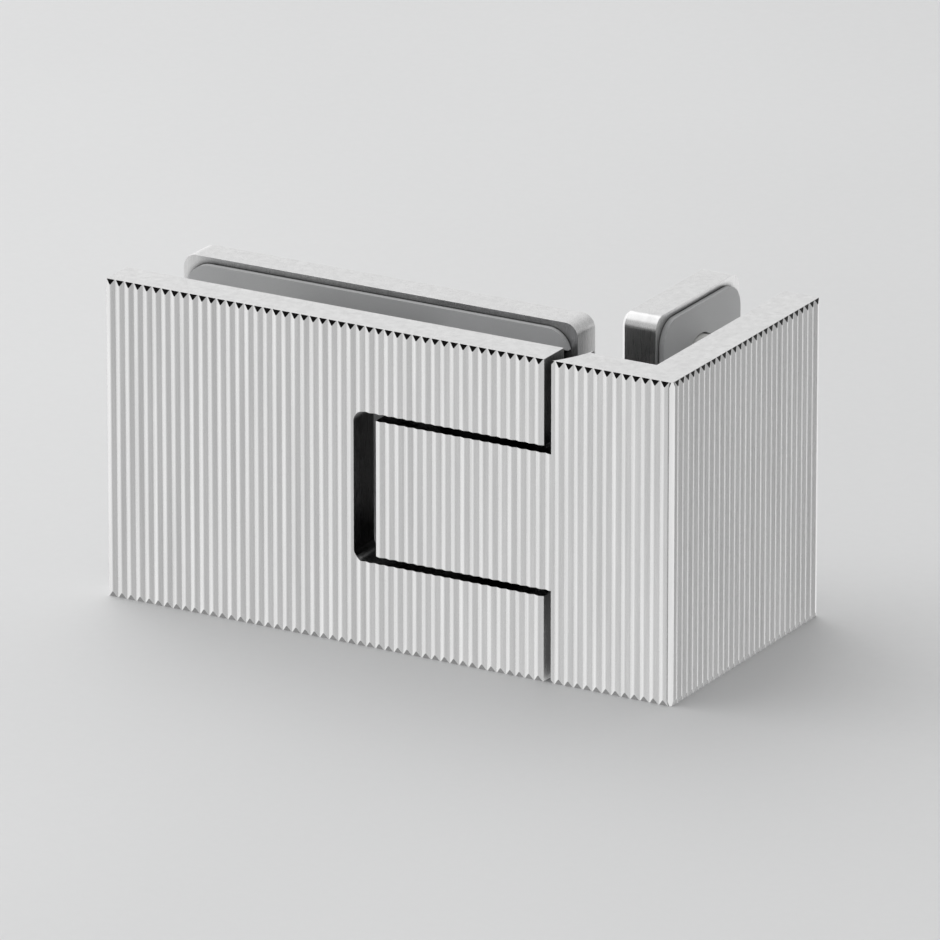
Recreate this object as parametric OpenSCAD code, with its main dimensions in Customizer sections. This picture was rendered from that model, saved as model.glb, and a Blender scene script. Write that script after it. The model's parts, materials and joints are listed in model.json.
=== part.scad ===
// Lift hinge for a 90 degree corner, with a clamping slot in either leaf.
// The door leaf is a fluted C-shaped clamp, the fixed leaf is a fluted corner piece with a tongue.
// The tongue sits in the notch of the C and carries the pivot pin and the helical lift cams.
// Origin: where the planes of both slots' outer faces meet, at mid-height.
// The door leaf runs towards -X, the side leg of the fixed leaf towards +Y, +Z is up.

/* [Slots and gaskets] */
// Width of both slots, between the gaskets
glass_t = 10; // [8:1:12]
// Thickness of the gaskets on either side of a slot
gasket_t = 1; // [0.6:0.1:2]
// Inset of the gasket outlines from the plate outlines
gasket_inset = 1.2; // [0.4:0.1:1.6]
// Radius of the gasket corners
gasket_r = 4.5; // [1:0.5:6]

/* [Outer plates] */
// Height of all plates
plate_h = 59; // [54:1:70]
// Thickness of the outer plates, over the flutes
plate_t = 7.2; // [6.5:0.1:10]
// Length of the door leaf's outer plate
door_plate_l = 88; // [80:1:110]
// Length of the corner piece's front leg
corner_front_l = 24; // [22:0.5:30]
// Length of the corner piece's side leg
corner_side_l = 53; // [48:1:70]
// Gap between the door plate and the corner piece
leaf_gap = 1.5; // [1:0.1:2.5]
// Chamfer on the vertical edge of the corner piece
corner_chamfer = 0.8; // [0.4:0.1:1.5]

/* [Fluting] */
// Nominal width of one flute
flute_pitch = 1.87; // [1.4:0.01:3]
// Depth of the flutes
flute_depth = 0.3; // [0.2:0.05:0.8]
// Width of the flat on top of each ridge
flute_land = 0.2; // [0.1:0.05:0.6]
// Depth of the bevel on the upper and lower ends of the ridges
ridge_bevel_depth = 0.25; // [0.1:0.05:0.5]
// Height of that bevel
ridge_bevel_h = 0.95; // [0.3:0.05:1.5]

/* [Inner plates] */
// Thickness of the inner plates
inner_t = 7; // [5:0.1:9]
// How far the door leaf's inner plate stops short of the outer plate at its free end
inner_door_setback = 4.5; // [2:0.5:8]
// How far the door leaf's inner plate stops short of the outer plate at the pivot end
inner_pivot_setback = 4; // [2:0.5:6]
// Length of the fixed leaf's inner plate
inner_fixed_l = 30; // [26:1:36]
// How far the fixed leaf's inner plate runs past the corner piece
inner_fixed_overrun = 5.5; // [0:0.5:8]
// Corner radius of the inner plates
inner_r = 2.5; // [2:0.5:6]
// Chamfer round the exposed face of the inner plates
inner_chamfer = 0.8; // [0.3:0.1:1.5]

/* [Tongue and notch] */
// Length of the tongue from the corner piece to its free end
tongue_l = 35; // [33:0.5:38]
// Height of the tongue
tongue_h = 25; // [23:0.5:28]
// Gap between the tongue's free end and the notch
notch_end_gap = 4.4; // [4.2:0.1:6]
// Radius of the notch corners
notch_r = 2; // [1:0.25:3]
// Radius of the tongue's free corners, seen from above
tongue_r = 1; // [0.5:0.25:2]
// Reach of the pivot axis from the tongue's free end
pivot_reach = 16.8; // [15.5:0.1:18]

/* [Lift] */
// Rise of the door leaf over a quarter turn
lift_rise = 1; // [0.6:0.1:2]
// Clearance between faces that pass each other
run_gap = 0.3; // [0.2:0.05:0.5]
// Outer radius of the lift cams
cam_r = 10; // [9:0.25:10.25]
// Inner radius of the lift cams
cam_bore_r = 6.6; // [6.5:0.1:7]
// Height of the fixed cam below its ramps
cam_base_h = 3; // [2.6:0.1:3.4]
// Depth of the cam recess in the tongue
cam_recess = 7; // [6.6:0.1:7.4]
// Angle by which the door cam's steps stand off the fixed cam's
cam_step_gap = 3; // [2:0.5:6]

/* [Pivot] */
// Radius of the pivot pin
pin_r = 4; // [3.5:0.1:4.4]
// Radial running clearance of the pin
pin_clearance = 0.05; // [0.02:0.01:0.08]
// Distance from the pin's axis to its driving flats
pin_flat = 3; // [2.4:0.1:3.3]
// Radius of the pin's collar
collar_r = 6; // [5.6:0.1:6.2]
// Thickness of the pin's collar
collar_t = 2; // [1.2:0.1:2.4]
// Outer radius of the bushes
bush_r = 5.5; // [5.2:0.1:5.8]
// Flange radius of the bushes
bush_flange_r = 6.3; // [6.1:0.1:6.4]
// Flange thickness of the bushes
bush_flange_t = 1.2; // [0.8:0.1:1.6]
// Thickness of the retaining ring
ring_t = 1; // [0.8:0.1:1.2]
// Outer radius of the retaining ring
ring_r = 5.8; // [5.4:0.1:6]
// Radius of the retaining ring's eyes
ring_eye_r = 1.5; // [1.2:0.1:1.7]
// Radius of the holes in those eyes
ring_eye_hole_r = 0.6; // [0.4:0.1:0.8]
// Angle of each eye from the ring's opening
ring_eye_angle = 24; // [20:1:32]
// Depth of the retaining ring's groove in the pin
ring_groove = 0.8; // [0.5:0.1:1]
// Room round and below the retaining ring in the tongue
ring_room = 1; // [0.6:0.1:1.5]

/* [Pivot blocks] */
// Height of the pivot blocks
block_h = 10.7; // [9:0.1:11]
// Reach of the blocks from the pivot towards the door leaf's free end
block_reach_door = 15; // [14:0.5:16]
// Reach of the blocks from the pivot towards the corner piece
block_reach_corner = 10; // [9.5:0.25:11]
// Distance of the block screws from the pivot
block_screw_x = 10; // [9.5:0.25:11]
// Height of the block screws above the block's inner face
block_screw_z = 6.2; // [5.5:0.1:6.5]
// Radius of the cam dowels
dowel_r = 1; // [0.75:0.05:1.2]
// Length of the cam dowels in each of the two pieces
dowel_half_l = 2; // [1.5:0.1:2.2]

/* [Screws] */
// Radius of the clamp screws
clamp_screw_r = 3; // [2.5:0.25:3.5]
// Radius of the clamp screw heads
clamp_head_r = 6; // [5:0.25:6.5]
// Radius of the block screws
block_screw_r = 2.5; // [2:0.25:2.75]
// Radius of the block screw heads
block_head_r = 4.6; // [4:0.1:5]
// Radius over the corners of the clamp screws' hexagon sockets
clamp_socket_r = 2.3; // [1.8:0.1:2.6]
// Radius over the corners of the block screws' hexagon sockets
block_socket_r = 1.7; // [1.4:0.1:2]
// Depth of the hexagon sockets
socket_depth = 2.4; // [1.6:0.1:2.8]
// Depth of the blind holes in the outer plates
blind_depth = 5; // [4:0.1:5.2]
// Clearance round screws, dowels and seated pieces
seat_clearance = 0.05; // [0.02:0.01:0.1]
// Depth of the screw heads below the plate surface
head_sink = 0.2; // [0:0.05:0.5]
// Height of the clamp screws above and below mid-height
clamp_screw_z = 17; // [12:0.5:19]
// Distance of the door leaf's clamp screws from the free end of the outer plate
door_screw_x = 25; // [18:0.5:32]
// Distance of the fixed leaf's clamp screws from the end of the corner piece
fixed_screw_y = 10; // [8:0.5:14]
// Wall thickness of the plastic sleeves
sleeve_wall = 2.3; // [1.5:0.1:3]
// Radial play between a sleeve and its screw
sleeve_play = 0.2; // [0.1:0.05:0.4]

/* [Hidden] */
$fn = 64;
cut = 1;

steel = [0.78, 0.78, 0.77];
screw_steel = [0.62, 0.62, 0.63];
gasket_grey = [0.5, 0.51, 0.51];
sleeve_white = [0.86, 0.86, 0.84];
bush_black = [0.14, 0.14, 0.15];
cam_grey = [0.22, 0.22, 0.23];

// Planes of the stack across each slot, measured from the slot's outer face
plate_back = -gasket_t;
plate_front = plate_back - plate_t;
inner_front = glass_t + gasket_t;
inner_back = inner_front + inner_t;
clamp_span = glass_t + 2 * gasket_t;

// Stations along the front
side_face_x = -plate_front;
corner_end_x = side_face_x - corner_front_l;
tongue_end_x = corner_end_x - tongue_l;
notch_end_x = tongue_end_x - notch_end_gap;
door_pivot_end_x = corner_end_x - leaf_gap;
door_free_end_x = door_pivot_end_x - door_plate_l;

// Stations along the side leg
side_end_y = plate_front + corner_side_l;
inner_fixed_end_y = side_end_y + inner_fixed_overrun;
inner_fixed_start_y = inner_fixed_end_y - inner_fixed_l;

// Pivot axis, in the mid-plane of the door leaf's slot
pivot_x = tongue_end_x + pivot_reach;
pivot_y = glass_t / 2;
tongue_half = tongue_h / 2;
tongue_back = 2 * pivot_y - plate_front;
barrel_r = tongue_back - pivot_y;
web_end_x = -clamp_span;
notch_half = tongue_half + lift_rise + run_gap;
swing_r = norm([corner_end_x - pivot_x, plate_front - pivot_y]);

// Cut-out of the door leaf's gaskets round the pivot
cutout_half = notch_half + block_h + run_gap;
cutout_end_x = pivot_x - swing_r;

// Levels of the lift mechanism
recess_floor = tongue_half - cam_recess;
ramp_h = 2 * lift_rise;
ramp_steps = 18;
wedge_radii = [cam_bore_r - cut, cam_r + cut];
ramp_foot = recess_floor + cam_base_h;
collar_z = recess_floor + bush_flange_t + pin_clearance;
ring_seat_depth = bush_flange_t + pin_clearance + ring_t + ring_room;
lower_ledge = -tongue_half + ring_seat_depth;
ring_z = lower_ledge - bush_flange_t - pin_clearance - ring_t;
bush_l = (recess_floor - lower_ledge - run_gap) / 2;
pin_top = notch_half + block_h - lift_rise;
pin_bottom = -(notch_half + block_h) + 2 * lift_rise;
ring_seat_r = bush_flange_r + ring_room;

// Screw stations
door_screw_pos_x = door_free_end_x + door_screw_x;
fixed_screw_pos_y = side_end_y - fixed_screw_y;
block_screw_pos_x = pivot_x - block_screw_x;
block_screw_pos_z = notch_half + block_screw_z;
sleeve_r = clamp_screw_r + sleeve_play + sleeve_wall;
sleeve_l = clamp_span - 2 * seat_clearance;
blind_floor = plate_back - blind_depth;
screw_l = inner_back - head_sink - blind_floor - run_gap;

// Points of a fluted edge along +X from (0, 0): valleys at both ends, ridges at -Y
function flute_count(len) = round(len / flute_pitch);
function fluted_edge(len) =
    let (n = flute_count(len), p = len / n)
    [for (i = [0:n - 1], q = [
        [i * p, 0],
        [(i + 0.5) * p - flute_land / 2, -flute_depth],
        [(i + 0.5) * p + flute_land / 2, -flute_depth]
    ]) q];

// Strip in plan with a fluted front: len along +X, ridges at y = 0, back at y = t
module fluted_strip(len, t) {
    front = [for (q = fluted_edge(len)) [q[0], q[1] + flute_depth]];
    polygon(concat(front, [[len, flute_depth], [len, t], [0, t]]));
}

// Prism that takes the bevel off the ridge ends, along +X, at the edge y = 0, z = 0
module ridge_end_cut(len) {
    slope = ridge_bevel_h / ridge_bevel_depth;
    rotate([90, 0, 90])
        linear_extrude(len)
            polygon([
                [-cut, -ridge_bevel_h - cut * slope],
                [ridge_bevel_depth + cut / slope, cut],
                [-cut, cut]
            ]);
}

// Both bevels of a fluted face that starts at (0, 0) and runs along +X
module ridge_end_cuts(len) {
    for (side = [0, 1])
        mirror([0, 0, side])
            translate([0, 0, plate_h / 2])
                ridge_end_cut(len);
}

// Rectangle with round corners, from (0, 0) to (w, h)
module round_rect(w, h, r) {
    translate([r, 0])
        square([w - 2 * r, h]);
    translate([0, r])
        square([w, h - 2 * r]);
    for (x = [r, w - r], y = [r, h - r])
        translate([x, y])
            circle(r);
}

// Slab with round corners and a chamfer round its upper face
module chamfered_slab(w, h, t, r, c) {
    linear_extrude(t - c)
        round_rect(w, h, r);
    for (x = [r, w - r], y = [r, h - r])
        translate([x, y, t - c])
            cylinder(h = c, r1 = r, r2 = r - c);
    translate([0, h - r, 0])
        rotate([90, 0, 0])
            linear_extrude(h - 2 * r)
                chamfered_section(w, t, c);
    translate([r, 0, 0])
        rotate([90, 0, 90])
            linear_extrude(w - 2 * r)
                chamfered_section(h, t, c);
}

// Section of a slab: base width w, height t, upper corners cut by c
module chamfered_section(w, t, c) {
    polygon([[0, 0], [w, 0], [w, t - c], [w - c, t], [c, t], [0, t - c]]);
}

// Notch of the door plates in the XZ plane, open towards +X
module notch_outline(end_x, half, r) {
    run = -end_x;
    translate([end_x + r, -half])
        square([run, 2 * half]);
    translate([end_x, -half + r])
        square([run, 2 * half - 2 * r]);
    for (z = [-half + r, half - r])
        translate([end_x + r, z])
            circle(r);
}

// Places a drawing in the XZ plane as a prism from y = y0 to y = y1
module along_y(y0, y1) {
    translate([0, y1, 0])
        rotate([90, 0, 0])
            linear_extrude(y1 - y0)
                children();
}

// Countersunk socket screw along +Y: head face at y = 0, tip at y = screw_l
module countersunk_screw(r, head_r, socket_r) {
    rotate([-90, 0, 0])
        difference() {
            union() {
                cylinder(h = head_r - r, r1 = head_r, r2 = r);
                cylinder(h = screw_l, r = r);
            }
            translate([0, 0, -cut])
                cylinder(h = socket_depth + cut, r = socket_r, $fn = 6);
        }
}

// Clearance hole and countersink for such a screw, down to the floor of its blind hole
module countersunk_hole(r, head_r) {
    hole_r = r + seat_clearance;
    seat_r = head_r + seat_clearance;
    rotate([-90, 0, 0]) {
        cylinder(h = screw_l + run_gap, r = hole_r);
        cylinder(h = seat_r - hole_r, r1 = seat_r, r2 = hole_r);
        translate([0, 0, -head_sink - cut])
            cylinder(h = head_sink + cut, r = seat_r);
    }
}

// Stations of the door leaf's clamp screws, heads on the inner side
module at_door_clamp_screws() {
    for (z = [-clamp_screw_z, clamp_screw_z])
        translate([door_screw_pos_x, inner_back - head_sink, z])
            rotate([0, 0, 180])
                children();
}

// Stations of the pivot block screws
module at_block_screws() {
    for (z = [-block_screw_pos_z, block_screw_pos_z])
        translate([block_screw_pos_x, inner_back - head_sink, z])
            rotate([0, 0, 180])
                children();
}

// Stations of the fixed leaf's clamp screws, heads on the inner side
module at_fixed_clamp_screws() {
    for (z = [-clamp_screw_z, clamp_screw_z])
        translate([-inner_back + head_sink, fixed_screw_pos_y, z])
            rotate([0, 0, -90])
                children();
}

// Plan of the corner piece: fluted front with the tongue, fluted side, barrel round the pivot
module corner_plan() {
    front_l = side_face_x - corner_chamfer - tongue_end_x;
    side_l = corner_side_l - corner_chamfer;
    difference() {
        union() {
            translate([tongue_end_x, plate_front])
                fluted_strip(front_l, plate_t);
            translate([side_face_x, plate_front + corner_chamfer])
                rotate([0, 0, 90])
                    fluted_strip(side_l, plate_t);
            corner_wedge();
            tongue_plan();
        }
        tongue_rounding();
    }
}

// Square of the corner between both fluted runs, with its outer edge chamfered
module corner_wedge() {
    inner = -plate_back;
    c = corner_chamfer;
    polygon([
        [inner, plate_front + flute_depth],
        [side_face_x - c, plate_front + flute_depth],
        [side_face_x - c, plate_front],
        [side_face_x, plate_front + c],
        [side_face_x - flute_depth, plate_front + c],
        [inner, plate_front + plate_t]
    ]);
}

// Thick part of the tongue behind its fluted front: a block, a quarter round and a web
module tongue_plan() {
    valley_y = plate_front + flute_depth;
    translate([tongue_end_x, valley_y])
        square([pivot_x - tongue_end_x, tongue_back - valley_y]);
    translate([pivot_x, valley_y])
        square([web_end_x - pivot_x, pivot_y - valley_y]);
    translate([pivot_x, pivot_y])
        intersection() {
            circle(barrel_r);
            square(2 * barrel_r);
        }
}

// Rounds the back corner of the tongue's free end
module tongue_rounding() {
    translate([tongue_end_x, tongue_back])
        difference() {
            translate([-cut, -tongue_r])
                square([tongue_r + cut, tongue_r + cut]);
            translate([tongue_r, -tongue_r])
                circle(tongue_r);
        }
}

module corner_body() {
    color(steel)
        difference() {
            linear_extrude(plate_h, center = true)
                corner_plan();
            swing_clearance();
            pivot_bores();
            at_fixed_clamp_screws()
                countersunk_hole(clamp_screw_r, clamp_head_r);
            translate([corner_end_x - cut, plate_front, 0])
                ridge_end_cuts(corner_front_l + cut);
            translate([side_face_x, plate_front, 0])
                rotate([0, 0, 90])
                    ridge_end_cuts(corner_side_l);
        }
}

// Room above and below the tongue in which the arms of the door leaf turn
module swing_clearance() {
    for (side = [0, 1])
        mirror([0, 0, side])
            translate([pivot_x, pivot_y, tongue_half])
                cylinder(h = plate_h, r = swing_r);
}

// Bush bore, cam recess and ring recess of the tongue
module pivot_bores() {
    translate([pivot_x, pivot_y, 0]) {
        cylinder(h = plate_h, r = bush_r + seat_clearance, center = true);
        translate([0, 0, recess_floor])
            cylinder(h = plate_h, r = cam_r + seat_clearance);
        translate([0, 0, lower_ledge - plate_h])
            cylinder(h = plate_h, r = ring_seat_r);
    }
}

module fixed_inner_plate() {
    color(steel)
        difference() {
            translate([-inner_front, inner_fixed_start_y, -plate_h / 2])
                rotate([90, 0, -90])
                    mirror([1, 0, 0])
                        chamfered_slab(inner_fixed_l, plate_h, inner_t, inner_r, inner_chamfer);
            at_fixed_clamp_screws()
                countersunk_hole(clamp_screw_r, clamp_head_r);
        }
}

// Gasket on the corner piece: one leg along the side, one behind the front leg
module fixed_outer_gasket() {
    color(gasket_grey)
        difference() {
            linear_extrude(plate_h - 2 * gasket_inset, center = true)
                fixed_gasket_plan();
            at_fixed_clamp_screws()
                sleeve_hole();
        }
}

module fixed_gasket_plan() {
    square([gasket_t, side_end_y - gasket_inset]);
    translate([-glass_t, -gasket_t])
        square([glass_t + gasket_t, gasket_t]);
}

// Hole for a sleeve through a gasket
module sleeve_hole() {
    rotate([-90, 0, 0])
        cylinder(h = screw_l, r = sleeve_r + run_gap);
}

module fixed_inner_gasket() {
    w = inner_fixed_l - 2 * gasket_inset;
    h = plate_h - 2 * gasket_inset;
    color(gasket_grey)
        difference() {
            translate([-glass_t, inner_fixed_start_y + gasket_inset, -h / 2])
                rotate([90, 0, -90])
                    mirror([1, 0, 0])
                        linear_extrude(gasket_t)
                            round_rect(w, h, gasket_r);
            at_fixed_clamp_screws()
                sleeve_hole();
        }
}

module fixed_clamp_screws() {
    color(screw_steel)
        at_fixed_clamp_screws()
            countersunk_screw(clamp_screw_r, clamp_head_r, clamp_socket_r);
}

// Sleeve round a clamp screw, between the two plates
module screw_sleeve() {
    start = inner_t - head_sink + seat_clearance;
    translate([0, start, 0])
        rotate([-90, 0, 0])
            difference() {
                cylinder(h = sleeve_l, r = sleeve_r);
                translate([0, 0, -cut])
                    cylinder(h = sleeve_l + 2 * cut, r = clamp_screw_r + sleeve_play);
            }
}

module fixed_screw_sleeves() {
    color(sleeve_white)
        at_fixed_clamp_screws()
            screw_sleeve();
}

// Flanged bush with its flange at z = 0 and its barrel below
module flanged_bush(len) {
    translate([pivot_x, pivot_y, 0])
        difference() {
            union() {
                translate([0, 0, -len])
                    cylinder(h = len, r = bush_r);
                cylinder(h = bush_flange_t, r = bush_flange_r);
            }
            cylinder(h = 4 * len, r = pin_r + pin_clearance, center = true);
        }
}

module upper_bush() {
    color(bush_black)
        translate([0, 0, recess_floor])
            flanged_bush(bush_l);
}

module lower_bush() {
    color(bush_black)
        translate([0, 0, lower_ledge])
            mirror([0, 0, 1])
                flanged_bush(bush_l);
}

// Wedge between a flat at z_flat and a helical face that rises by ramp_h over half a turn.
// The helical face is its top, or its underside where z_flat lies above.
module helical_wedge(a0, z_flat, lift) {
    hangs = z_flat > ramp_foot + ramp_h;
    step = (180 - a0) / ramp_steps;
    angles = [for (i = [0:ramp_steps]) a0 + i * step];
    flat = [for (a = angles, r = wedge_radii) [r * cos(a), r * sin(a), z_flat]];
    helix = [for (a = angles, r = wedge_radii)
        [r * cos(a), r * sin(a), ramp_foot + lift + ramp_h * a / 180]];
    polyhedron(
        points = hangs ? concat(helix, flat) : concat(flat, helix),
        faces = wedge_faces(ramp_steps)
    );
}

// Triangles of a wedge of n steps. Point 2i is the inner and 2i + 1 the outer one of step i,
// first for the underside and then for the top.
function wedge_faces(n) =
    let (m = 2 * (n + 1), e = 2 * n)
    concat(
        [for (i = [0:2:e - 2], f = [
            [i, i + 1, i + 3], [i, i + 3, i + 2],
            [m + i, m + i + 3, m + i + 1], [m + i, m + i + 2, m + i + 3],
            [i + 1, m + i + 1, m + i + 3], [i + 1, m + i + 3, i + 3],
            [i, m + i + 2, m + i], [i, i + 2, m + i + 2]
        ]) f],
        [[0, m, m + 1], [0, m + 1, 1], [e, e + 1, m + e + 1], [e, m + e + 1, m + e]]
    );

// Ring about the pivot axis
module pivot_ring(z0, z1, r_out, r_in) {
    translate([0, 0, z0])
        difference() {
            cylinder(h = z1 - z0, r = r_out);
            translate([0, 0, -cut])
                cylinder(h = z1 - z0 + 2 * cut, r = r_in);
        }
}

module fixed_lift_cam() {
    color(cam_grey)
        translate([pivot_x, pivot_y, 0]) {
            pivot_ring(recess_floor, ramp_foot, cam_r, cam_bore_r);
            intersection() {
                pivot_ring(recess_floor, ramp_foot + 2 * ramp_h, cam_r, cam_bore_r);
                for (turn = [0, 180])
                    rotate([0, 0, turn])
                        helical_wedge(0, recess_floor + cut, 0);
            }
        }
}

module door_lift_cam() {
    color(cam_grey)
        translate([pivot_x, pivot_y, 0])
            difference() {
                intersection() {
                    pivot_ring(ramp_foot, notch_half, cam_r - run_gap, cam_bore_r);
                    union() {
                        translate([0, 0, ramp_foot + ramp_h + run_gap])
                            cylinder(h = plate_h, r = 2 * cam_r);
                        for (turn = [0, 180])
                            rotate([0, 0, turn])
                                helical_wedge(cam_step_gap, notch_half + cut, run_gap);
                    }
                }
                dowel_holes();
            }
}

// Stations of the two dowels, about the pivot axis
module at_dowels() {
    for (x = [-1, 1])
        translate([x * (cam_r + cam_bore_r) / 2, 0, notch_half])
            children();
}

module dowel_holes() {
    at_dowels()
        cylinder(h = 2 * (dowel_half_l + run_gap), r = dowel_r + seat_clearance, center = true);
}

module cam_dowels() {
    color(screw_steel)
        translate([pivot_x, pivot_y, 0])
            at_dowels()
                cylinder(h = 2 * dowel_half_l, r = dowel_r, center = true);
}

// Pin with a flat at each end, cut back to the tongue so that the raised lower block stays clear
module pivot_pin() {
    color(screw_steel)
        translate([pivot_x, pivot_y, 0])
            difference() {
                union() {
                    translate([0, 0, pin_bottom])
                        cylinder(h = pin_top - pin_bottom, r = pin_r);
                    translate([0, 0, collar_z])
                        cylinder(h = collar_t, r = collar_r);
                }
                for (side = [0, 1])
                    mirror([0, 0, side])
                        translate([-2 * pin_r - pin_flat, -pin_r, tongue_half])
                            cube([2 * pin_r, 2 * pin_r, plate_h]);
                pivot_ring(ring_z, ring_z + ring_t, 2 * pin_r, pin_r - ring_groove);
            }
}

// Open spring ring with two eyes
module retaining_ring() {
    eye_reach = ring_r - ring_eye_r;
    color(screw_steel)
        translate([pivot_x, pivot_y, ring_z + seat_clearance / 2])
            linear_extrude(ring_t - seat_clearance)
                difference() {
                    union() {
                        circle(ring_r - ring_eye_r / 2);
                        at_ring_eyes(eye_reach)
                            circle(ring_eye_r);
                    }
                    circle(pin_r - ring_groove + seat_clearance);
                    translate([0, -ring_eye_hole_r])
                        square([ring_r + cut, 2 * ring_eye_hole_r]);
                    at_ring_eyes(eye_reach)
                        circle(ring_eye_hole_r);
                }
}

module at_ring_eyes(reach) {
    for (a = [-ring_eye_angle, ring_eye_angle])
        rotate(a)
            translate([reach, 0])
                children();
}

module door_outer_plate() {
    color(steel)
        difference() {
            translate([door_free_end_x, plate_front, -plate_h / 2])
                linear_extrude(plate_h)
                    fluted_strip(door_plate_l, plate_t);
            along_y(plate_front - cut, plate_back + cut)
                notch_outline(notch_end_x, notch_half, notch_r);
            translate([door_free_end_x - cut, plate_front, 0])
                ridge_end_cuts(door_plate_l + 2 * cut);
            at_door_clamp_screws()
                countersunk_hole(clamp_screw_r, clamp_head_r);
            at_block_screws()
                countersunk_hole(block_screw_r, block_head_r);
        }
}

module door_inner_plate() {
    start_x = door_free_end_x + inner_door_setback;
    len = door_plate_l - inner_door_setback - inner_pivot_setback;
    color(steel)
        difference() {
            translate([start_x + len, inner_front, -plate_h / 2])
                rotate([90, 0, 180])
                    chamfered_slab(len, plate_h, inner_t, inner_r, inner_chamfer);
            along_y(inner_front - cut, inner_back + cut)
                notch_outline(notch_end_x, notch_half, notch_r);
            at_door_clamp_screws()
                countersunk_hole(clamp_screw_r, clamp_head_r);
            at_block_screws()
                countersunk_hole(block_screw_r, block_head_r);
        }
}

// Flat gasket of the door leaf from x0 to x1, with the cut-out round the pivot left free
module door_gasket(x0, x1, y0) {
    difference() {
        along_y(y0, y0 + gasket_t)
            translate([x0, -plate_h / 2 + gasket_inset])
                round_rect(x1 - x0, plate_h - 2 * gasket_inset, gasket_r);
        along_y(y0 - cut, y0 + gasket_t + cut)
            notch_outline(cutout_end_x, cutout_half, notch_r);
        at_door_clamp_screws()
            sleeve_hole();
    }
}

module door_outer_gasket() {
    color(gasket_grey)
        door_gasket(door_free_end_x + gasket_inset, door_pivot_end_x - gasket_inset, plate_back);
}

module door_inner_gasket() {
    color(gasket_grey)
        door_gasket(
            door_free_end_x + inner_door_setback + gasket_inset,
            door_pivot_end_x - inner_pivot_setback - gasket_inset,
            glass_t
        );
}

// Block between the plates, its pin hole keyed by a flat, lower face at z = notch_half
module pivot_block() {
    hole_r = pin_r + pin_clearance;
    difference() {
        translate([pivot_x - block_reach_door, plate_back, notch_half])
            cube([block_reach_door + block_reach_corner, clamp_span, block_h]);
        translate([pivot_x, pivot_y, notch_half - cut])
            linear_extrude(block_h + 2 * cut)
                intersection() {
                    circle(hole_r);
                    translate([-pin_flat - pin_clearance, -pin_r - cut])
                        square([2 * pin_r + cut, 2 * pin_r + 2 * cut]);
                }
        at_block_screws()
            countersunk_hole(block_screw_r, block_head_r);
    }
}

module upper_pivot_block() {
    color(screw_steel)
        difference() {
            pivot_block();
            translate([pivot_x, pivot_y, 0])
                dowel_holes();
        }
}

module lower_pivot_block() {
    color(screw_steel)
        mirror([0, 0, 1])
            pivot_block();
}

module door_clamp_screws() {
    color(screw_steel)
        at_door_clamp_screws()
            countersunk_screw(clamp_screw_r, clamp_head_r, clamp_socket_r);
}

module door_screw_sleeves() {
    color(sleeve_white)
        at_door_clamp_screws()
            screw_sleeve();
}

module pivot_block_screws() {
    color(screw_steel)
        at_block_screws()
            countersunk_screw(block_screw_r, block_head_r, block_socket_r);
}

corner_body();
fixed_inner_plate();
fixed_outer_gasket();
fixed_inner_gasket();
fixed_clamp_screws();
fixed_screw_sleeves();
upper_bush();
lower_bush();
fixed_lift_cam();
pivot_pin();
retaining_ring();
door_outer_plate();
door_inner_plate();
door_outer_gasket();
door_inner_gasket();
upper_pivot_block();
lower_pivot_block();
door_lift_cam();
cam_dowels();
door_clamp_screws();
door_screw_sleeves();
pivot_block_screws();
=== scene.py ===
import json
import math

import bpy
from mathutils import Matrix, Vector


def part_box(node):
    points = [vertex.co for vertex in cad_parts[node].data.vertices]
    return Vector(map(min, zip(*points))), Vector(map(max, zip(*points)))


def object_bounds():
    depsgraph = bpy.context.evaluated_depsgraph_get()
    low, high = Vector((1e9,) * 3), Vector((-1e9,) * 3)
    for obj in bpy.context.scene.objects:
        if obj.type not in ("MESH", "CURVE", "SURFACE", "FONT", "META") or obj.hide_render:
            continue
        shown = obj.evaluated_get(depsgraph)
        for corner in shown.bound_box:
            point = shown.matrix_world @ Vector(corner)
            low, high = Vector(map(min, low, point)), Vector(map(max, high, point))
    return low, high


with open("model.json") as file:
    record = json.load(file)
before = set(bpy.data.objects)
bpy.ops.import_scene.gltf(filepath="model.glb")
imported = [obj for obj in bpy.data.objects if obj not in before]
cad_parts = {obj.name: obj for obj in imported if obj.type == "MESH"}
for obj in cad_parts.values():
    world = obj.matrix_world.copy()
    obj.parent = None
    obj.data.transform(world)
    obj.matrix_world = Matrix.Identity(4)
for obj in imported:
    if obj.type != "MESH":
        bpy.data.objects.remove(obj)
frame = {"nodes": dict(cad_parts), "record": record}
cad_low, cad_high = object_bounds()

# Sizes are in metres and angles in degrees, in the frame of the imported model.
# Azimuth 0 is in front of the hinge and 90 on its right.
MM = 0.001

# Camera: where it stands as seen from the hinge, the width of its view there,
# and how far below the middle of the hinge it aims
VIEW_AZIMUTH = 29.8
VIEW_ELEVATION = 19.4
VIEW_DISTANCE = 2.3
VIEW_WIDTH = 165 * MM
AIM_DROP = 5 * MM
SENSOR = 36.0

# Patterns: the range of a noise that goes from dark to light
PATTERN_START = 0.3
PATTERN_END = 0.7

# Edges that the shading rounds, and the cosines at which the painted highlight on steel edges begins and is
# full
STEEL_EDGE = 0.1 * MM
TURNED_EDGE = 0.12 * MM
SOFT_EDGE = 0.15 * MM
EDGE_SAMPLES = 6
EDGE_HIGHLIGHT_START = 0.995
EDGE_HIGHLIGHT_FULL = 0.94

# Satin steel: streaks and grain, both drawn out along Z, with dark and light colours
STREAKS_PER_MM = (0.9, 0.9, 0.02)
GRAIN_PER_MM = (14.0, 14.0, 0.25)
GRAIN_DEPTH = 0.002 * MM
SATIN_ROUGHNESS = (0.24, 0.34)
FLUTED_STEEL = ((0.6, 0.6, 0.6), (0.7, 0.7, 0.7))
PLATE_STEEL = ((0.6, 0.6, 0.6), (0.68, 0.68, 0.68))
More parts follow.
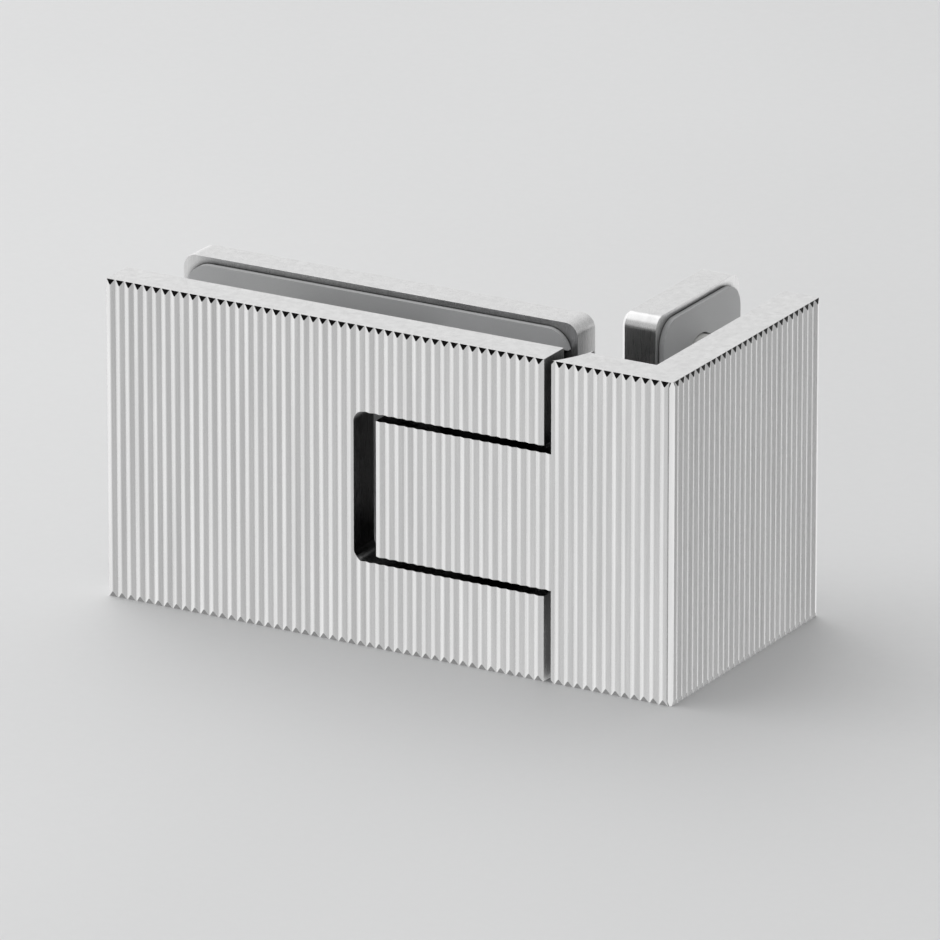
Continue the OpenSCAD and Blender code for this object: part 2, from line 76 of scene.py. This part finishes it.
# Painted highlight: the lighter colour that steel takes along its edges
PAINTED_EDGE_HIGHLIGHT = (0.76, 0.76, 0.76)
# Painted shade: the near-black colour put in narrow gaps and on the bevels at the ends of the ridges
PAINTED_SHADE = (0.008, 0.008, 0.008)

# Painted shade on the bevels at the ends of the ridges: how much, and how high or low the normals of such
# faces point
UPPER_END_SHADE = 1.0
LOWER_END_SHADE = 0.65
BEVEL_LEAST = 0.08
BEVEL_MOST = 0.6

# Painted shade in narrow gaps: how far a place looks round, and its openness where the shade is full and
# where it is clear
FLUTED_GAPS = (10 * MM, 0.5, 0.88)
PLATE_GAPS = (3 * MM, 0.5, 0.88)
SOCKETS = (4 * MM, 0.35, 0.8)
GAP_SAMPLES = 8

# Milled steel
CUTTER_MARKS_PER_MM = (0.2, 3.0, 6.0)
CUTTER_DEPTH = 0.006 * MM
MILLED_ROUGHNESS = (0.28, 0.42)
MILLED_STEEL = ((0.42, 0.42, 0.43), (0.56, 0.56, 0.57))

# Turned steel, and the axis that each turned node was turned about
RINGS_PER_MM = 5.0
RING_DEPTH = 0.004 * MM
TURNED_ROUGHNESS = (0.2, 0.32)
TURNED_STEEL = ((0.48, 0.48, 0.49), (0.64, 0.64, 0.65))
AXIS_X, AXIS_Y, AXIS_Z = 0, 1, 2
TURNED_ABOUT = {
    "fixed_clamp_screws": AXIS_X,
    "door_clamp_screws": AXIS_Y,
    "pivot_block_screws": AXIS_Y,
    "pivot_pin": AXIS_Z,
    "retaining_ring": AXIS_Z,
    "cam_dowels": AXIS_Z,
}

# Rubber of the gaskets
SPECKLE_PER_MM = (5.0, 5.0, 5.0)
SPECKLE_DEPTH = 0.02 * MM
RUBBER_ROUGHNESS = (0.62, 0.78)
RUBBER_GLOSS = 0.3
RUBBER = ((0.47, 0.474, 0.478), (0.55, 0.554, 0.558))

# Plastic of the sleeves, bushes and cams
MOTTLE_PER_MM = (2.5, 2.5, 2.5)
MOTTLE_DEPTH = 0.01 * MM
PLASTIC_ROUGHNESS = (0.36, 0.5)
SLEEVE_PLASTIC = ((0.76, 0.76, 0.74), (0.84, 0.84, 0.82))
BUSH_PLASTIC = ((0.03, 0.03, 0.032), (0.06, 0.06, 0.063))
CAM_PLASTIC = ((0.05, 0.05, 0.053), (0.085, 0.085, 0.09))

# Floor
FLOOR_HALF = 6.0
FLOOR_GAP = 0.02 * MM
CLOUDS_PER_MM = (0.004, 0.004, 0.004)
GRIT_PER_MM = (0.6, 0.6, 0.6)
GRIT_DEPTH = 0.01 * MM
FLOOR_ROUGHNESS = (0.55, 0.7)
FLOOR_PAINT = ((0.7, 0.703, 0.706), (0.74, 0.743, 0.746))

# Light from all round: the sky, the ground, and the sines below the horizon where one turns into the other
SKY_LIGHT = 0.55
GROUND_LIGHT = 0.65
HORIZON_START = 0.02
HORIZON_END = 0.2

# Panels that the steel mirrors: azimuth, elevation, the cosines where the light begins and is full, strength
PANELS = [
    (209.5, 17.5, 0.6, 0.92, 0.4),  # wall for the top faces
    (275.0, -20.0, 0.2, 0.95, 0.6),  # left flanks of the front's ridges
    (68.0, -20.0, 0.8, 0.95, 0.6),  # chamfer of the corner
    (160.0, -20.0, 0.82, 0.97, 0.6),  # lands of the side's ridges, and the back
    (110.0, -20.0, 0.7, 0.95, -0.13),  # dark panel for the flanks of the side's ridges
]

# Square lights that face the hinge: name, azimuth, elevation, distance, width, power
SOFTBOXES = [
    ("top", 270.0, 49.5, 1.0, 1.5, 6.2),
    ("front", 19.0, -17.8, 0.545, 0.16, 0.03),
]


def towards(azimuth, elevation):
    """Unit vector from the hinge in that direction."""
    turn, rise = math.radians(azimuth), math.radians(elevation)
    return Vector((math.sin(turn) * math.cos(rise), -math.cos(turn) * math.cos(rise), math.sin(rise)))


class Shader:
    """A procedural material: short calls for the nodes that the finishes share."""

    def __init__(self, name):
        self.material = bpy.data.materials.new(name)
        self.material.use_nodes = True
        self.tree = self.material.node_tree
        self.surface = self.tree.nodes["Principled BSDF"]
        self.place = self.node("ShaderNodeTexCoord").outputs["Object"]

    def node(self, kind, **settings):
        made = self.tree.nodes.new(kind)
        for key, value in settings.items():
            setattr(made, key, value)
        return made

    def link(self, source, target):
        self.tree.links.new(source, target)

    def set(self, **values):
        """Sets constants on the surface's own sockets."""
        for key, value in values.items():
            self.surface.inputs[key.replace("_", " ")].default_value = value

    def noise(self, per_mm, detail):
        """Noise with that many units to the millimetre on each axis."""
        mapping = self.node("ShaderNodeMapping")
        mapping.inputs["Scale"].default_value = [units / MM for units in per_mm]
        self.link(self.place, mapping.inputs["Vector"])
        made = self.node("ShaderNodeTexNoise")
        made.inputs["Scale"].default_value = 1.0
        made.inputs["Detail"].default_value = detail
        self.link(mapping.outputs["Vector"], made.inputs["Vector"])
        return made.outputs["Fac"]

    def mirrored_place(self):
        """Coordinates that are the same above and below mid-height."""
        axes = self.node("ShaderNodeSeparateXYZ")
        self.link(self.place, axes.inputs[0])
        height = self.node("ShaderNodeMath", operation="ABSOLUTE")
        self.link(axes.outputs["Z"], height.inputs[0])
        mirrored = self.node("ShaderNodeCombineXYZ")
        self.link(axes.outputs["X"], mirrored.inputs["X"])
        self.link(axes.outputs["Y"], mirrored.inputs["Y"])
        self.link(height.outputs["Value"], mirrored.inputs["Z"])
        return mirrored.outputs["Vector"]

    def rings(self, centre, across, per_mm):
        """Uneven rings about a centre line, mirrored below mid-height.

        Across is 1 on the axes that measure the radius and 0 along the line.
        """
        offset = self.node("ShaderNodeVectorMath", operation="SUBTRACT")
        offset.inputs[1].default_value = centre
        self.link(self.mirrored_place(), offset.inputs[0])
        level = self.node("ShaderNodeVectorMath", operation="MULTIPLY")
        level.inputs[1].default_value = across
        self.link(offset.outputs["Vector"], level.inputs[0])
        radius = self.node("ShaderNodeVectorMath", operation="LENGTH")
        self.link(level.outputs["Vector"], radius.inputs[0])
        made = self.node("ShaderNodeTexNoise", noise_dimensions="1D")
        made.inputs["Scale"].default_value = per_mm / MM
        self.link(radius.outputs["Value"], made.inputs["W"])
        return made.outputs["Fac"]

    def span(self, value, low, high, start=PATTERN_START, end=PATTERN_END):
        """A value's range from start to end carried to low .. high."""
        made = self.node("ShaderNodeMapRange")
        made.inputs["From Min"].default_value = start
        made.inputs["From Max"].default_value = end
        made.inputs["To Min"].default_value = low
        made.inputs["To Max"].default_value = high
        self.link(value, made.inputs["Value"])
        return made.outputs["Result"]

    def colours(self, value, dark, light):
        """A pattern's middle range carried from one colour to another."""
        ramp = self.node("ShaderNodeValToRGB")
        first, last = ramp.color_ramp.elements
        first.position, first.color = PATTERN_START, (*dark, 1.0)
        last.position, last.color = PATTERN_END, (*light, 1.0)
        self.link(value, ramp.inputs["Fac"])
        return ramp.outputs["Color"]

    def rounded_edges(self, radius):
        made = self.node("ShaderNodeBevel", samples=EDGE_SAMPLES)
        made.inputs["Radius"].default_value = radius
        return made.outputs["Normal"]

    def edges(self, rounded):
        """1 along the edges that the rounding reaches, 0 on the faces: the share of the painted edge
        highlight.
        """
        facing = self.node("ShaderNodeVectorMath", operation="DOT_PRODUCT")
        flat = self.node("ShaderNodeNewGeometry").outputs["True Normal"]
        self.link(rounded, facing.inputs[0])
        self.link(flat, facing.inputs[1])
        return self.span(facing.outputs["Value"], 0.0, 1.0, EDGE_HIGHLIGHT_START, EDGE_HIGHLIGHT_FULL)

    def openness(self, reach, shut, clear):
        """0 in narrow gaps and 1 in the open, looking as far as reach."""
        made = self.node("ShaderNodeAmbientOcclusion", samples=GAP_SAMPLES)
        made.inputs["Distance"].default_value = reach
        return self.span(made.outputs["AO"], 0.0, 1.0, shut, clear)

    def ridge_ends(self):
        """Painted shade on the bevels at the ends of the ridges, by the height of the normal; 0 elsewhere.
        """
        axes = self.node("ShaderNodeSeparateXYZ")
        self.link(self.node("ShaderNodeNewGeometry").outputs["True Normal"], axes.inputs[0])
        ramp = self.node("ShaderNodeValToRGB")
        ramp.color_ramp.interpolation = "CONSTANT"
        steps = (
            (-BEVEL_MOST, LOWER_END_SHADE),
            (-BEVEL_LEAST, 0.0),
            (BEVEL_LEAST, UPPER_END_SHADE),
            (BEVEL_MOST, 0.0),
        )
        for height, shade in steps:
            ramp.color_ramp.elements.new((1 + height) / 2).color = (shade, shade, shade, 1.0)
        ramp.color_ramp.elements[0].color = (0.0, 0.0, 0.0, 1.0)
        ramp.color_ramp.elements[-1].color = (0.0, 0.0, 0.0, 1.0)
        self.link(self.span(axes.outputs["Z"], 0.0, 1.0, -1.0, 1.0), ramp.inputs["Fac"])
        return ramp.outputs["Color"]

    def blend(self, share, first, second):
        """First colour where share is 0, second where it is 1."""
        made = self.node("ShaderNodeMixRGB")
        self.link(share, made.inputs["Fac"])
        for socket, colour in ((made.inputs["Color1"], first), (made.inputs["Color2"], second)):
            if isinstance(colour, tuple):
                socket.default_value = (*colour, 1.0)
            else:
                self.link(colour, socket)
        return made.outputs["Color"]

    def bump(self, height, depth, normal=None):
        made = self.node("ShaderNodeBump")
        made.inputs["Distance"].default_value = depth
        self.link(height, made.inputs["Height"])
        if normal:
            self.link(normal, made.inputs["Normal"])
        return made.outputs["Normal"]

    def finish(self, colour, roughness, normal):
        self.link(colour, self.surface.inputs["Base Color"])
        self.link(roughness, self.surface.inputs["Roughness"])
        self.link(normal, self.surface.inputs["Normal"])
        return self.material


def satin_steel(name, tones, gaps, fluted):
    """Brushed stainless steel with a vertical grain, a painted highlight along its edges, painted shade in
    narrow gaps and, when fluted, painted shade on the bevels at the ends of the ridges.
    """
    shader = Shader(name)
    shader.set(Metallic=1.0)
    streaks = shader.noise(STREAKS_PER_MM, detail=3.0)
    grain = shader.noise(GRAIN_PER_MM, detail=2.0)
    rounded = shader.rounded_edges(STEEL_EDGE)
    # Painted highlight: the steel goes lighter along the rounded edges
    colour = shader.blend(shader.edges(rounded), shader.colours(streaks, *tones), PAINTED_EDGE_HIGHLIGHT)
    if fluted:
        # Painted shade on the bevels at the ends of the ridges
        colour = shader.blend(shader.ridge_ends(), colour, PAINTED_SHADE)
    # Painted shade: the colour goes near-black where the gaps are narrow
    return shader.finish(
        shader.blend(shader.openness(*gaps), PAINTED_SHADE, colour),
        shader.span(grain, *SATIN_ROUGHNESS),
        shader.bump(grain, GRAIN_DEPTH, rounded),
    )


def milled_steel(name):
    """Plain steel block with fine cutter marks."""
    shader = Shader(name)
    shader.set(Metallic=1.0)
    marks = shader.noise(CUTTER_MARKS_PER_MM, detail=2.0)
    return shader.finish(
        shader.colours(marks, *MILLED_STEEL),
        shader.span(marks, *MILLED_ROUGHNESS),
        shader.bump(marks, CUTTER_DEPTH, shader.rounded_edges(SOFT_EDGE)),
    )


def turned_steel(node_name, axis):
    """Bright steel with the rings of the lathe about a node's axis, with painted shade in its sockets."""
    low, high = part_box(node_name)
    centre = (low + high) / 2
    across = Vector((1.0, 1.0, 1.0))
    across[axis] = 0.0
    if axis != AXIS_Z:
        # Level screws come in pairs, one above mid-height and one below: this is the upper one's middle
        sideways = 1 - axis
        centre.z = high.z - (high - low)[sideways] / 2
    shader = Shader("turned_" + node_name)
    shader.set(Metallic=1.0)
    marks = shader.rings(centre, across, RINGS_PER_MM)
    # Painted shade: the colour goes near-black in the sockets
    return shader.finish(
        shader.blend(shader.openness(*SOCKETS), PAINTED_SHADE, shader.colours(marks, *TURNED_STEEL)),
        shader.span(marks, *TURNED_ROUGHNESS),
        shader.bump(marks, RING_DEPTH, shader.rounded_edges(TURNED_EDGE)),
    )


def gasket_rubber(name):
    """Mid-grey matt rubber with a fine speckle."""
    shader = Shader(name)
    shader.set(Specular_IOR_Level=RUBBER_GLOSS)
    speckle = shader.noise(SPECKLE_PER_MM, detail=4.0)
    return shader.finish(
        shader.colours(speckle, *RUBBER),
        shader.span(speckle, *RUBBER_ROUGHNESS),
        shader.bump(speckle, SPECKLE_DEPTH, shader.rounded_edges(SOFT_EDGE)),
    )


def moulded_plastic(name, tones):
    """Matt moulded plastic with a faint mottle."""
    shader = Shader(name)
    mottle = shader.noise(MOTTLE_PER_MM, detail=3.0)
    return shader.finish(
        shader.colours(mottle, *tones),
        shader.span(mottle, *PLASTIC_ROUGHNESS),
        shader.bump(mottle, MOTTLE_DEPTH, shader.rounded_edges(SOFT_EDGE)),
    )


def floor_finish(name):
    """Pale matt floor."""
    shader = Shader(name)
    clouds = shader.noise(CLOUDS_PER_MM, detail=2.0)
    grit = shader.noise(GRIT_PER_MM, detail=2.0)
    return shader.finish(
        shader.colours(clouds, *FLOOR_PAINT),
        shader.span(grit, *FLOOR_ROUGHNESS),
        shader.bump(grit, GRIT_DEPTH),
    )


def dress_nodes():
    """Gives every node of the model its finish: by its axis if it was turned, or else by its slot."""
    finishes = {
        "fluted_steel": satin_steel("fluted_steel", FLUTED_STEEL, FLUTED_GAPS, fluted=True),
        "plate_steel": satin_steel("plate_steel", PLATE_STEEL, PLATE_GAPS, fluted=False),
        "block_steel": milled_steel("block_steel"),
        "gasket": gasket_rubber("gasket"),
        "sleeve": moulded_plastic("sleeve", SLEEVE_PLASTIC),
        "bush": moulded_plastic("bush", BUSH_PLASTIC),
        "cam": moulded_plastic("cam", CAM_PLASTIC),
    }
    for part in frame["record"]["subparts"]:
        name = part["node"]
        mesh = frame["nodes"][name].data
        mesh.materials.clear()
        if name in TURNED_ABOUT:
            mesh.materials.append(turned_steel(name, TURNED_ABOUT[name]))
        else:
            mesh.materials.append(finishes[part["material_slot"]])


def add_floor():
    """Plain floor just under the hinge. The camera sees it, but the steel doesn't mirror it."""
    half = FLOOR_HALF
    z = cad_low.z - FLOOR_GAP
    corners = [(-half, -half, z), (half, -half, z), (half, half, z), (-half, half, z)]
    mesh = bpy.data.meshes.new("floor")
    mesh.from_pydata(corners, [], [(0, 1, 2, 3)])
    floor = bpy.data.objects.new("floor", mesh)
    bpy.context.scene.collection.objects.link(floor)
    mesh.materials.append(floor_finish("floor"))
    floor.visible_diffuse = False
    floor.visible_glossy = False
    floor.visible_shadow = False


def add_softbox(name, azimuth, elevation, distance, width, power):
    """Square light in that direction from the hinge, facing it."""
    centre = (cad_low + cad_high) / 2
    data = bpy.data.lights.new(name, "AREA")
    data.shape = "SQUARE"
    data.size = width
    data.energy = power
    light = bpy.data.objects.new(name, data)
    light.location = centre + towards(azimuth, elevation) * distance
    light.rotation_euler = (centre - light.location).to_track_quat("-Z", "Y").to_euler()
    bpy.context.scene.collection.objects.link(light)


def add_sky():
    """Soft light from all round, with the panels added to it."""
    world = bpy.data.worlds.new("studio")
    bpy.context.scene.world = world
    world.use_nodes = True
    tree = world.node_tree
    direction = tree.nodes.new("ShaderNodeTexCoord").outputs["Generated"]
    down = (0.0, 0.0, -1.0)
    light = sky_share(tree, direction, down, HORIZON_START, HORIZON_END, SKY_LIGHT, GROUND_LIGHT)
    for azimuth, elevation, start, full, strength in PANELS:
        panel = sky_share(tree, direction, towards(azimuth, elevation), start, full, 0.0, strength)
        total = tree.nodes.new("ShaderNodeMath")
        tree.links.new(light, total.inputs[0])
        tree.links.new(panel, total.inputs[1])
        light = total.outputs["Value"]
    tree.links.new(light, tree.nodes["Background"].inputs["Color"])


def sky_share(tree, direction, middle, start, full, low, high):
    """Light that goes from low to high as the cosine to its middle goes from start to full."""
    facing = tree.nodes.new("ShaderNodeVectorMath")
    facing.operation = "DOT_PRODUCT"
    facing.inputs[1].default_value = middle
    tree.links.new(direction, facing.inputs[0])
    share = tree.nodes.new("ShaderNodeMapRange")
    limits = {"From Min": start, "From Max": full, "To Min": low, "To Max": high}
    for name, value in limits.items():
        share.inputs[name].default_value = value
    tree.links.new(facing.outputs["Value"], share.inputs["Value"])
    return share.outputs["Result"]


def add_camera():
    """Long lens at the photograph's viewing angle."""
    back = towards(VIEW_AZIMUTH, VIEW_ELEVATION)
    aim = (cad_low + cad_high) / 2 - Vector((0.0, 0.0, AIM_DROP))
    data = bpy.data.cameras.new("camera")
    data.sensor_width = SENSOR
    data.lens = SENSOR * VIEW_DISTANCE / VIEW_WIDTH
    camera = bpy.data.objects.new("camera", data)
    camera.location = aim + back * VIEW_DISTANCE
    camera.rotation_euler = (-back).to_track_quat("-Z", "Y").to_euler()
    bpy.context.scene.collection.objects.link(camera)
    bpy.context.scene.camera = camera


dress_nodes()
add_floor()
add_sky()
for softbox in SOFTBOXES:
    add_softbox(*softbox)
add_camera()
bpy.context.scene.view_settings.view_transform = "Standard"
